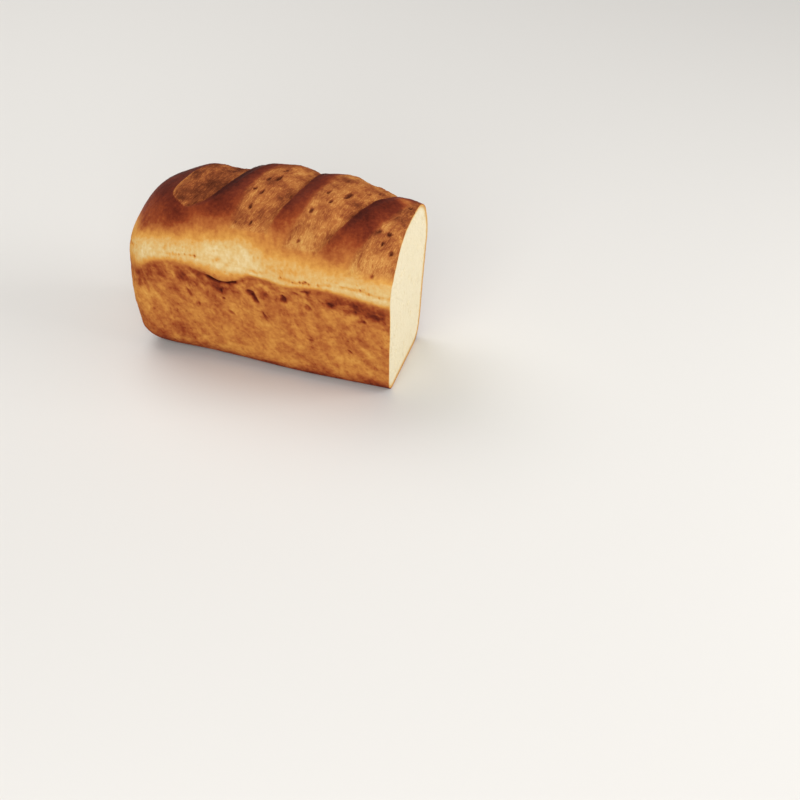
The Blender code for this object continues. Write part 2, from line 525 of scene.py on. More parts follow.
SCARS = (
    Scar(-100.2, 71.4, 3.8, 2.4, -12, 1.4, 1.0),
    Scar(-96.8, 66.4, 2.4, 4.8, 26, 1.5, 1.0),
    Scar(-91.5, 54.0, 1.3, 3.4, 25, 0.7, 0.6),
    Scar(-75.8, 71.2, 2.6, 3.8, 8, 1.3, 0.85),
    Scar(-60.0, 82.0, 4.6, 1.2, 4, 1.2, 0.8),
    Scar(-66.5, 79.0, 3.2, 1.0, -20, 0.8, 0.6),
    Scar(-58.5, 67.7, 2.8, 3.6, 20, 1.0, 0.7),
    Scar(-120.1, 62.3, 2.1, 1.5, 0, 0.9, 0.9),
    Scar(-120.9, 69.4, 1.4, 3.6, -8, 0.7, 0.5),
    Scar(-113.0, 78.6, 4.6, 1.5, 0, 1.3, 0.95),
    Scar(-126.0, 79.6, 6.0, 0.9, -12, 0.8, 0.7),
    Scar(-28.2, 70.0, 4.6, 2.6, 20, 0.7, 0.4),
    Scar(-10.4, 70.0, 6.5, 2.4, 6, 0.7, 0.4),
    Scar(-19.0, 63.5, 2.6, 1.6, 0, 0.6, 0.5),
    Scar(-42.4, 74.2, 4.0, 2.6, 14, 0.8, 0.5),
    Scar(-28.5, 34.1, 0.9, 3.0, 50, 0.7, 0.7),
    Scar(-42.8, 51.2, 3.0, 2.6, 0, 0.5, 0.4),
    Scar(-57.9, 38.2, 3.4, 1.2, -15, 0.5, 0.4),
    Scar(-115.2, 49.6, 3.6, 1.1, -20, 0.6, 0.5),
    Scar(-146.0, 62.0, 1.6, 5.5, 28, 0.5, 0.45),
    Scar(-180.0, 60.0, 2.0, 8.0, 14, 0.4, 0.45),
    Scar(-138.9, 53.3, 1.3, 2.6, 20, 0.5, 0.5),
)

SWELLS = (
    Swell(-183, 4, 14, 40, 2.9),
    Swell(-137, 33, 12, 20, -4.4),
    Swell(-50, 30, 10, 18, 2.8),
    Swell(-9, 19, 9, 6, 0.2, pale=0.26),
# The last swell's pale share is a painted highlight on the crown of the ridge by the cut.
)

# Bubbles that burst in the openings
PITS = (
    Pit(-103.6, -29.7, 3.0, 1.4),
    Pit(-99.0, -17.4, 3.6, 1.2),
    Pit(-99.6, -4.5, 2.8, 1.2),
    Pit(-93.5, -1.0, 5.6, 1.6),
    Pit(-104.7, -15.5, 2.2, 1.0),
    Pit(-101.4, -40.2, 2.4, 1.0),
    Pit(-62.3, -24.7, 3.2, 1.5),
    Pit(-56.6, -6.2, 2.6, 1.0),
    Pit(-52.4, -14.6, 3.0, 1.1),
    Pit(-43.5, -2.6, 7.5, 1.5),
    Pit(-66.8, -46.5, 2.2, 1.2),
    Pit(-55.5, -54.0, 2.6, 1.2),
    Pit(-79.0, -45.9, 4.4, 1.2),
    Pit(-45.0, -43.5, 2.2, 1.0),
    Pit(-8.8, -27.2, 3.0, 2.0),
    Pit(-4.8, -42.0, 3.4, 1.8),
    Pit(-11.4, -36.4, 3.0, 1.0),
    Pit(-3.4, 12.0, 3.6, 1.4),
    Pit(-14.0, -63.0, 3.0, 1.4),
)


@dataclass
class Baking:
    """Works out relief and browning from where each point lies on the plain skin."""

    form: LoafForm
    broad: Grain = field(default_factory=lambda: Grain(11))
    fine: Grain = field(default_factory=lambda: Grain(23))
    strand: Grain = field(default_factory=lambda: Grain(37))
    pores: Grain = field(default_factory=lambda: Grain(53))

    def at(self, skin: Skin) -> Baked:
        """Bakes the skin.

        Args:
            skin: Points on the plain skin.

        Returns:
            Relief and browning at each point.
        """
        p = skin.plain
        x, _, z = p.T
        jitter = 0.8 * MM * self.fine.smooth(p, 7 * MM)
        fold = follow(FOLD_LINE, x / MM, FOLD_SOFT) * MM + jitter
        tables = (PALE_FOOT, PALE_TOP, GILT_TOP)
        lines = [follow(table, x / MM, LINE_SOFT) * MM + jitter for table in tables]
        lines[1] += 1.6 * MM * self.broad.smooth(p, 15 * MM)
        lines[2] += 2.2 * MM * self.broad.smooth(p + 0.1, 18 * MM)
        crisp = hump(x, CREASE_PLACE, CREASE_RUN)
        soft = mix(mix(3.6 * MM, 5.5 * MM, ease(-80 * MM, -50 * MM, x)), 0.9 * MM, crisp)
        upper = ease(-1, 1, (z - fold) / soft)
        over = ease(-3 * MM, 5 * MM, z - lines[1])
        cut = self._slashes(p)
        torn = cut.torn * ease(0, 1.6, (z - lines[1]) / np.maximum(lines[2] - lines[1], 3 * MM))
        rise, pan_brown = self._pan(p, fold, crisp)
        band_rise, band_brown = self._band(p, fold, lines)
        top_rise, top_brown = self._dome(p, lines, cut)
        brown = mix(pan_brown, mix(band_brown, top_brown, over), upper)
        relief = mix(rise, mix(band_rise, top_rise, over), upper)
        relief += self._lip(p, fold, crisp) + self.form.slow_waves(p) - cut.sink * over
        turn = self.form.turn(p)
        for swell in SWELLS:
            relief += swell.rise * MM * swell.share(x, turn) * over
            # painted highlight: lighter colour where a swell has a pale share
            brown -= swell.pale * swell.share(x, turn) * (1 - torn)
        relief *= ease(0, self.form.foot_round, z)
        gloss = over * (1 - torn)
        return Baked(relief, cut.shove, np.clip(brown, 0, 1), torn, gloss, cut.across)

    def _lip(self, p: np.ndarray, fold: np.ndarray, crisp: np.ndarray) -> np.ndarray:
        """The swelling over the tin's rim, and the fold under it.

        Args:
            p: Points on the plain skin.
            fold: The fold's height at each point.
            crisp: 1 where the fold is a sharp crease, 0 where it is only a soft edge.

        Returns:
            The relief.
        """
        form, z = self.form, p[:, 2]
        swell = form.lip_swell * hump(z, form.lip_height, form.lip_spread)
        step = ease(-0.6 * MM, mix(5 * MM, 1.6 * MM, crisp), z - fold) * hump(z, fold, 9 * MM)
        crease = hump(z, fold - 0.7 * MM, 1.3 * MM) * (0.12 + 0.88 * crisp)
        return swell + (0.5 + 0.8 * crisp) * MM * step - 1.3 * MM * crease

    def _slashes(self, p: np.ndarray) -> Opening:
        """What the four slashes did at each point of the plain skin."""
        x = p[:, 0]
        turn = self.form.turn(p)
        wavy = 0.8 * MM * self.broad.smooth(p, 14 * MM) + 0.3 * MM * self.fine.smooth(p, 4 * MM)
        ragged = 2.2 * MM * self.fine.rough(p + 0.35, 7 * MM, 3)
        blank = np.zeros(len(p))
        cut = Opening(blank, blank, blank, blank, blank + 0.5, blank, blank)
        bead = blank
        facing = 1 - ease(0, 25, turn)
        for slash in self.form.slashes:
            past = slash.past(x, turn) + wavy
            width, span = slash.width(turn), slash.span(turn)
            start = past + width + ragged * (slash.blend / (6 * MM))
            mask = ease(-0.4 * slash.blend, 0.6 * slash.blend, start) * ease(0.0, 0.25, span)
            fading = 6 * MM * (1 - span)
            mask = mask * (1 - ease(-1.7 * MM - fading, 0.5 * MM + fading, past))
            run = np.clip((past + width) / np.maximum(width - UNDERCUT, MM), 0, 1)
            rise = 1 - 0.72 * ease(-UNDERCUT, 0, past) - 0.28 * ease(0, 6 * MM, past)
            slope = run**slash.sag * ease(0, 0.6, run)
            valley = np.where(past < -UNDERCUT, slope, rise)
            grown = np.clip(width / WIDE_OPENING, 0, 1)
            deep = slash.depth * valley * np.sqrt(span) * grown
            bulge = 0.6 * slash.sag * MM * ease(0, 8 * MM, start) * (1 - ease(0.2, 0.9, run)) * mask
            shove = SHOVE * hump(past, 0.2 * MM, 1.8 * MM) * np.sqrt(span)
            clean = hump(start, 0.5 * MM, 0.9 * MM) * facing * (slash.blend < CLEAN_SPLIT)
            bead = np.maximum(bead, clean)
            strip = ease(-1.6 * MM - fading, 0.8 * MM + fading, past)
            strip = strip * np.exp(-np.clip(past, 0, None) / (10 * MM))
            cut = Opening(
                torn=np.maximum(cut.torn, mask),
                sink=np.maximum(cut.sink, deep) - bulge,
                shove=cut.shove - shove * grown,
                lip=np.maximum(cut.lip, strip * span),
                shade=np.where(mask > 0.01, slash.shade, cut.shade),
                across=np.where(np.abs(start) < SLASH_REACH, past, cut.across),
                bead=bead * (past < 0),
            )
        return cut

    def _pan(
        self, p: np.ndarray, fold: np.ndarray, crisp: np.ndarray
    ) -> tuple[np.ndarray, np.ndarray]:
        """The crust that baked against the tin: mottled gold under a dark band, finely wrinkled,
        with painted shade towards its foot and a painted shadow under the fold.
        """
        x, y, z = p.T
        blotch = self.broad.rough(p + 0.9, 26 * MM, 2)
        mottle = self.fine.rough(p * (1, 1, 1.3), 9 * MM, 3)
        speck = self.fine.rough(p + 0.4, 2.6 * MM, 2)
        slanted = np.stack([x + 0.55 * z, y, 0.3 * (z - 0.55 * x)], -1)
        streak = self.strand.rough(slanted + 0.21, 7 * MM, 3)
        reach = (14 + 4 * self.broad.smooth(p + 0.2, 34 * MM) + 5 * streak) * MM
        band = (1 - ease(0.5 * reach, 1.5 * reach, fold - z)) * ease(-196 * MM, -184 * MM, x)
        # painted shade: darker towards the foot, and more at the bottom of the uncut end, where
        # little light reaches under the loaf
        foot = 1 - ease(0, 18 * MM, z)
        corner = (1 - ease(-190 * MM, -140 * MM, x)) * (1 - ease(10 * MM, 40 * MM, z))
        brown = 0.44 + 0.15 * blotch + 0.15 * mottle + 0.09 * speck + 0.13 * streak
        shade = follow(FOLD_SHADE, x / MM, SHADE_SOFT)
        brown += (shade + 0.11 * streak + 0.08 * mottle) * band + 0.28 * foot + 0.18 * corner
        brown -= 0.10 * (1 - ease(-199 * MM, -186 * MM, x))
        wrinkle, groove = self._wrinkles(p)
        rise = 0.4 * MM * blotch + 0.3 * MM * mottle - 0.4 * MM * groove + 0.15 * MM * streak
        # the crisp term is a painted shadow: a dark line in the crease under the overhanging fold
        brown += 0.12 * groove + 0.3 * crisp * hump(z, fold - 1.3 * MM, 1.3 * MM)
        pit = self.pores.dents(p, 5.0 * MM, 0.10, 0.22)
        rise -= 0.4 * MM * pit
        brown += 0.10 * pit
        bent_x = x + 1.7 * MM * self.fine.rough(p + 0.12, 5 * MM, 2)
        bent_z = z + 1.7 * MM * self.fine.rough(p + 0.52, 5 * MM, 2)
        for scar in SCARS:
            depth = self._scar(scar, bent_x, bent_z) * (y < 0)
            rise -= 0.8 * scar.depth * MM * depth
            brown += 0.38 * scar.dark * depth
        return rise + 0.1 * MM * wrinkle, brown

    def _wrinkles(self, p: np.ndarray) -> tuple[np.ndarray, np.ndarray]:
        """Fine creases left by the tin: a general crinkle, and how much a point is in a groove."""
        bends = [self.broad.smooth(p + n, 16 * MM) for n in (0.1, 0.5, 0.8)]
        warp = 4 * MM * np.stack(bends, -1)
        level = (p + warp) * (0.75, 0.75, 2.2)
        slanted = (p + warp) * (1.6, 1.6, 0.8) + (0.4 * p[:, 2:] * (1, 0, 0))
        first = 1 - np.abs(self.fine.smooth(level, 6 * MM))
        second = 1 - np.abs(self.strand.smooth(slanted, 8 * MM))
        patchy = ease(-0.1, 0.5, self.broad.smooth(p + 0.6, 13 * MM))
        groove = ease(0.93, 1.0, first) * patchy + 0.7 * ease(0.95, 1.0, second) * (1 - patchy)
        return first - 0.5, groove

    @staticmethod
    def _scar(scar: Scar, x: np.ndarray, z: np.ndarray) -> np.ndarray:
        """How deep in a scar each point is, from 0 to 1."""
        turn = math.radians(scar.turn)
        dx, dz = x / MM - scar.x, z / MM - scar.z
        across = (dx * math.cos(turn) + dz * math.sin(turn)) / scar.wide
        up = (dz * math.cos(turn) - dx * math.sin(turn)) / scar.high
        return 1 - ease(0.4, 1.25, np.hypot(across, up))

    def _band(
        self, p: np.ndarray, fold: np.ndarray, lines: Sequence[np.ndarray]
    ) -> tuple[np.ndarray, np.ndarray]:
        """The pale stretched band over the rim: fibrous, finely pored, with a dotted crack."""
        x, _, z = p.T
        foot, top, gilt = lines
        fibre = self.strand.rough(p * (1, 1, 0.35), 2.4 * MM, 2)
        cloud = self.broad.rough(p + 0.7, 15 * MM, 3)
        low = 1 - ease(-0.05, 1.15, (z - fold) / np.maximum(foot - fold, 2 * MM))
        high = np.clip((z - top) / np.maximum(gilt - top, 3 * MM), -1, 1)
        grain = self.fine.rough(p + 0.45, 4 * MM, 2)
        brown = 0.09 + 0.10 * cloud + 0.08 * fibre + 0.07 * grain + 0.36 * low
        brown += 0.2 * np.clip(high, 0, 1)
        brown += 0.10 * np.clip(high + 1, 0, 1) + 0.12 * (1 - ease(-196 * MM, -178 * MM, x))
        crack = follow(CRACK_LINE, x / MM, LINE_SOFT) * MM + 1.5 * MM * self.fine.smooth(p, 7 * MM)
        near = hump(z, crack, 1.1 * MM) * ease(-0.35, 0.25, self.broad.smooth(p + 0.37, 14 * MM))
        dots = self.pores.dents(p * (1, 1, 0.6), 2.2 * MM, 0.75, 0.4) * near
        pore = self.fine.dents(p, 2.2 * MM, 0.4, 0.32)
        rise = 0.2 * MM * fibre + 0.3 * MM * cloud - 0.9 * MM * dots - 0.25 * MM * pore
        return rise - 0.3 * MM * near, brown + 0.55 * dots + 0.12 * pore + 0.14 * near

    def _dome(
        self, p: np.ndarray, lines: Sequence[np.ndarray], cut: Opening
    ) -> tuple[np.ndarray, np.ndarray]:
        """The top: glazed dark skin between slashes, and rough lighter crumb in them."""
        x, _, z = p.T
        _, top, gilt = lines
        turn = self.form.turn(p)
        above = (z - top) / np.maximum(gilt - top, 3 * MM)
        baked = np.interp(above, (-1, 0, 1, 2, 3.2, 5), (0.08, 0.16, 0.38, 0.53, 0.64, 0.74))
        cloud = self.broad.rough(p + 0.15, 24 * MM, 3)
        mottle = self.fine.rough(p + 0.25, 7 * MM, 3)
        skin = baked + 0.06 * cloud + 0.05 * mottle + 0.21 * cut.lip * ease(0.2, 2, above)
        skin += 0.09 * (1 - ease(-176 * MM, -140 * MM, x)) * ease(0.6, 1.6, above)
        skin += 0.05 * self.strand.smooth(p * (1, 1, 0.15), 3 * MM) * hump(above, 1.2, 1.5)
        skin += 0.10 * self.fine.rough(p + 0.6, 5 * MM, 2) * hump(above, 0.5, 1.2)
        skin_rise = 0.25 * MM * cloud + 0.12 * MM * mottle
        around = np.radians(turn) * DOME_RADIUS
        rope = np.stack([cut.across, 0.22 * around, 0.2 * z], -1)
        wave = 1.5 * MM * self.broad.smooth(p + 0.66, 12 * MM)
        rope[:, 0] += wave
        fibre = self.strand.rough(rope, 2.4 * MM, 3)
        strand = ease(0.82, 1.0, 1 - np.abs(self.broad.smooth(rope * 0.8, 2.6 * MM)))
        knot = self.fine.rough(p + 0.5, 10 * MM, 3)
        deep = 0.8 * self.pores.dents(rope * (1, 2.4, 1), 5.0 * MM, 0.07, 0.40)
        small = self.fine.dents(rope * (1, 2.2, 1), 2.6 * MM, 0.16, 0.34)
        for pit in PITS:
            deep = np.maximum(deep, pit.depth(x, turn))
        patch = self.broad.rough(p + 0.31, 11 * MM, 2)
        frayed = ease(-0.15, 0.45, self.broad.smooth(p + 0.83, 15 * MM))
        opened = cut.shade - 0.02 + 0.13 * cloud + 0.20 * patch + 0.12 * knot
        # painted shade: darker towards the valley under the next lip
        opened += 0.10 * hump(cut.across, -2 * MM, 3 * MM)
        opened += frayed * (0.13 * fibre - 0.10 * strand)
        opened += 0.34 * deep + 0.16 * small
        opened *= np.interp(above, (-1, 0, 1.5, 3), (0.3, 0.45, 0.8, 1))
        opened -= 0.16 * cut.bead
        rough = 0.4 * MM * fibre + 0.7 * MM * knot - 1.3 * MM * deep - 0.5 * MM * small
        rough += 0.25 * MM * strand + 0.5 * MM * cut.bead
        return mix(skin_rise, rough, cut.torn), mix(skin, opened, cut.torn)


# ---------------------------------------------------------------------------
# Work by hand in Blender
# ---------------------------------------------------------------------------


def start_block(name: str) -> bpy.types.Object:
    """Adds a cube from -1 to 1 under a name, with nothing else selected."""
    bpy.ops.object.select_all(action="DESELECT")
    bpy.ops.mesh.primitive_cube_add(size=2, location=(0, 0, 0))
    block = bpy.context.object
    block.name = name
    block.data.name = name
    return block


def choose(block: bpy.types.Object, kind: str, test: Callable[[object], bool]) -> None:
    """Selects the faces or edges of a piece in edit mode that pass a test.

    Args:
        block: The piece, in edit mode.
        kind: "faces" or "edges".
        test: Says of a face or an edge whether it is wanted.
    """
    bpy.ops.mesh.select_mode(type="FACE" if kind == "faces" else "EDGE")
    bpy.ops.mesh.select_all(action="DESELECT")
    bm = bmesh.from_edit_mesh(block.data)
    for item in filter(test, getattr(bm, kind)):
        item.select_set(True)
    bmesh.update_edit_mesh(block.data)


def divide(block: bpy.types.Object, axis: int, steps: Iterable[int]) -> None:
    """Divides every edge that runs along one axis, in edit mode.

    Args:
        block: The piece, in edit mode.
        axis: 0, 1 or 2.
        steps: Into how many each edge is divided, one step after another.
    """

    def runs_along(edge: bmesh.types.BMEdge) -> bool:
        run = edge.verts[1].co - edge.verts[0].co
        return abs(run[axis]) > 0.999 * run.length

    for parts in steps:
        choose(block, "edges", runs_along)
        bpy.ops.mesh.subdivide(number_cuts=parts - 1)


def read_points(mesh: bpy.types.Mesh) -> np.ndarray:
    """Every point of a mesh, one row each."""
    flat = np.zeros(len(mesh.vertices) * 3)
    mesh.vertices.foreach_get("co", flat)
    return flat.reshape(-1, 3)


def write_points(mesh: bpy.types.Mesh, points: np.ndarray) -> None:
    """Puts the points of a mesh where they are given."""
    mesh.vertices.foreach_set("co", points.astype(np.float32).ravel())
    mesh.update()


def note(mesh: bpy.types.Mesh, name: str, values: np.ndarray) -> None:
    """Keeps one number for each point of a mesh, for its material to read."""
    layer = mesh.attributes.new(name, "FLOAT", "POINT")
    layer.data.foreach_set("value", values.astype(np.float32))


def finish_piece(piece: bpy.types.Object, sharp: float) -> None:
    """Shades a piece and hands it to the frame.

    Args:
        piece: The finished piece.
        sharp: The angle, in degrees, past which an edge stays sharp.
    """
    bpy.ops.object.select_all(action="DESELECT")
    piece.select_set(True)
    bpy.context.view_layer.objects.active = piece
    bpy.ops.object.shade_smooth_by_angle(angle=math.radians(sharp))
    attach(piece, "root")
    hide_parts("loaf")
    count = sum(len(face.vertices) - 2 for face in piece.data.polygons)
    log.info("%s: %d points, %d triangles", piece.name, len(piece.data.vertices), count)


# ---------------------------------------------------------------------------
# Finishes
# ---------------------------------------------------------------------------


def linear(code: str) -> tuple[float, float, float, float]:
    """Turns an sRGB hex colour to Blender's linear one."""
    parts = [int(code[n : n + 2], 16) / 255 for n in (1, 3, 5)]
    red, green, blue = (v / 12.92 if v <= 0.04045 else ((v + 0.055) / 1.055) ** 2.4 for v in parts)
    return red, green, blue, 1.0


def add_node(
    tree: bpy.types.NodeTree,
    kind: str,
    settings: dict[str | int, object] | None = None,
    links: dict[str | int, bpy.types.NodeSocket] | None = None,
) -> bpy.types.Node:
    """Adds one node.

    Args:
        tree: The material's nodes.
        kind: The node's type, such as ShaderNodeBump.
        settings: The node's own settings, or values for its inputs. The stops of a colour ramp
            are (place, hex colour) pairs.
        links: What feeds its inputs, by the input's name or number.

    Returns:
        The new node.
    """
    node = tree.nodes.new(kind)
    for name, value in (settings or {}).items():
        if name == "stops":
            for place, code in value[1:-1]:
                node.color_ramp.elements.new(place).color = linear(code)
            for key, (place, code) in zip((0, -1), (value[0], value[-1])):
                node.color_ramp.elements[key].position = place
                node.color_ramp.elements[key].color = linear(code)
        elif isinstance(name, int) or name in node.inputs:
            node.inputs[name].default_value = value
        else:
            setattr(node, name, value)
    for name, source in (links or {}).items():
        tree.links.new(source, node.inputs[name])
    return node


def new_material(name: str) -> tuple[bpy.types.Material, bpy.types.NodeTree, bpy.types.Node]:
    """A new material, its nodes and its shader."""
    material = bpy.data.materials.new(name)
    material.use_nodes = True
    return material, material.node_tree, material.node_tree.nodes["Principled BSDF"]


@dataclass(frozen=True)
class BakedCrust:
    """Baked bread crust: skin browned by the oven, from cream through gold to nearly black.

    The glazed dome has a soft shine, and torn and tin-side crust are duller, so roughness
    follows the same marks as the colour.
    """

    skin: tuple[tuple[float, str], ...] = (
        (0.00, "#E4CE9E"),
        (0.12, "#DAB778"),
        (0.25, "#D69B4C"),
        (0.37, "#C6833F"),
        (0.50, "#AD6332"),
        (0.62, "#8E4122"),
        (0.75, "#6A2A1A"),
        (0.87, "#481A12"),
        (1.00, "#2C0E0A"),
    )
    crumb: tuple[tuple[float, str], ...] = (
        (0.00, "#E4CE9E"),
        (0.20, "#D8A75C"),
        (0.36, "#C58748"),
        (0.48, "#AB6836"),
        (0.60, "#8C4A29"),
        (0.75, "#62301C"),
        (1.00, "#301008"),
    )
    grit: float = 1.1 * MM  # of the crust's surface
    fleck: float = 2.6 * MM  # the finest blotches
    strand: float = 1.5 * MM  # thickness of the stretched strands in the openings
    fleck_swing: float = 0.26  # how far the blotches carry the browning either way
    strand_swing: float = 0.13  # and how far the strands do
    glaze: str = "#F2B98A"  # of the shine, warmed by the caramelised skin under it
    specular: float = 0.035
    matt: float = 0.75
    shine: float = 0.5

    def make(self) -> bpy.types.Material:
        """Builds the material."""
        material, tree, shader = new_material("baked_crust")
        add = partial(add_node, tree)
        place = add("ShaderNodeTexCoord").outputs["Object"]
        marks = {
            name: add("ShaderNodeAttribute", {"attribute_name": name}).outputs["Fac"]
            for name in ("brown", "torn", "gloss", "across", "around")
        }
        flecks = {"Scale": 1 / self.fleck, "Detail": 4.0, "Roughness": 0.6}
        fleck = add("ShaderNodeTexNoise", flecks, {"Vector": place})
        centre = {"operation": "SUBTRACT", 1: 0.5}
        shift = add("ShaderNodeMath", centre, {0: fleck.outputs["Fac"]})
        spread = {"operation": "MULTIPLY_ADD", 1: self.fleck_swing}
        scaled = add("ShaderNodeMath", spread, {0: shift.outputs[0], 2: marks["brown"]})
        lay = add("ShaderNodeCombineXYZ", links={"X": marks["across"], "Y": marks["around"]})
        strands = {"Scale": 1 / self.strand, "Detail": 3.0, "Roughness": 0.6}
        strand = add("ShaderNodeTexNoise", strands, {"Vector": lay.outputs["Vector"]})
        sway = add("ShaderNodeMath", centre, {0: strand.outputs["Fac"]})
        apart = add("ShaderNodeMath", {"operation": "ABSOLUTE"}, {0: sway.outputs[0]})
        thin = {"From Max": 0.03, "To Min": -self.strand_swing, "To Max": 0.03}
        thread = add("ShaderNodeMapRange", thin, {"Value": apart.outputs[0]})
        spread = {"operation": "MULTIPLY_ADD", 1: self.strand_swing}
        swayed = add("ShaderNodeMath", spread, {0: sway.outputs[0], 2: scaled.outputs[0]})
        both = {0: swayed.outputs[0], 1: thread.outputs["Result"]}
        frayed = add("ShaderNodeMath", {"operation": "ADD"}, both)
        skin = add("ShaderNodeValToRGB", {"stops": self.skin}, {"Fac": scaled.outputs[0]})
        crumb = add("ShaderNodeValToRGB", {"stops": self.crumb}, {"Fac": frayed.outputs[0]})
        both = {0: marks["torn"], 6: skin.outputs["Color"], 7: crumb.outputs["Color"]}
        colour = add("ShaderNodeMix", {"data_type": "RGBA"}, both)
        tree.links.new(colour.outputs[2], shader.inputs["Base Color"])
        limits = {"To Min": self.matt, "To Max": self.shine}
        dull = add("ShaderNodeMapRange", limits, {"Value": marks["gloss"]})
        tree.links.new(dull.outputs["Result"], shader.inputs["Roughness"])
        shader.inputs["Specular IOR Level"].default_value = self.specular
        shader.inputs["Specular Tint"].default_value = linear(self.glaze)
        grits = {"Scale": 1 / self.grit, "Detail": 5.0, "Roughness": 0.65}
        grit = add("ShaderNodeTexNoise", grits, {"Vector": place})
        raised = {"Strength": 0.55, "Distance": 0.35 * MM}
        bump = add("ShaderNodeBump", raised, {"Height": grit.outputs["Fac"]})
        both = {0: strand.outputs["Fac"], 1: marks["torn"]}
        ridge = add("ShaderNodeMath", {"operation": "MULTIPLY"}, both)
        both = {"Height": ridge.outputs[0], "Normal": bump.outputs["Normal"]}
        bump = add("ShaderNodeBump", {"Strength": 0.6, "Distance": 0.6 * MM}, both)
        tree.links.new(bump.outputs["Normal"], shader.inputs["Normal"])
        return material


@dataclass(frozen=True)
class WhiteCrumb:
    """Soft white bread crumb, torn by the knife: cream, matt and full of fine pores."""

    pale: str = "#E9DDBE"
    shaded: str = "#D2BE8E"
    cream: str = "#E6D5AA"  # near the crust
    tan: str = "#D2A868"  # against it
    pore: float = 1.3 * MM
    rough: float = 0.85
    specular: float = 0.2

    def make(self) -> bpy.types.Material:
        """Builds the material."""
        material, tree, shader = new_material("white_crumb")
        add = partial(add_node, tree)
        place = add("ShaderNodeTexCoord").outputs["Object"]
        edge, hollow = (
            add("ShaderNodeAttribute", {"attribute_name": name}).outputs["Fac"]
            for name in ("edge", "hollow")
        )
        stops = ((0.0, self.pale), (0.55, self.cream), (1.0, self.tan))
        near = add("ShaderNodeValToRGB", {"stops": stops}, {"Fac": edge})
        shade = {"data_type": "RGBA", 7: linear(self.shaded)}
        colour = add("ShaderNodeMix", shade, {0: hollow, 6: near.outputs["Color"]})
        tree.links.new(colour.outputs[2], shader.inputs["Base Color"])
        shader.inputs["Roughness"].default_value = self.rough
        shader.inputs["Specular IOR Level"].default_value = self.specular
        cells = add("ShaderNodeTexVoronoi", {"Scale": 1 / self.pore}, {"Vector": place})
        raised = {"Strength": 0.4, "Distance": 0.35 * MM}
        bump = add("ShaderNodeBump", raised, {"Height": cells.outputs["Distance"]})
        tree.links.new(bump.outputs["Normal"], shader.inputs["Normal"])
        return material


# ---------------------------------------------------------------------------
# The two pieces
# ---------------------------------------------------------------------------


@dataclass(frozen=True)
class Rind:
    """How thick the crust's wall is: thin where it shows at the cut, and thick further in."""

    wall: float = 1.5 * MM
    deep: float = 9 * MM
    rings: tuple[float, ...] = (0.02, 0.05, 0.13, 0.3, 0.6, 0.9, 1.2, 1.5, 1.7)  # of the block

    def depth(self, a: np.ndarray) -> np.ndarray:
        """The wall's thickness at each place along the block, where 1 is the cut."""
        return mix(self.wall, self.deep, ease(self.rings[0], self.rings[2], 1 - a))

    def relief(self, a: np.ndarray) -> np.ndarray:
        """How much of the skin's relief the inner side of the wall follows."""
        return 1 - ease(self.rings[0], self.rings[2], 1 - a)


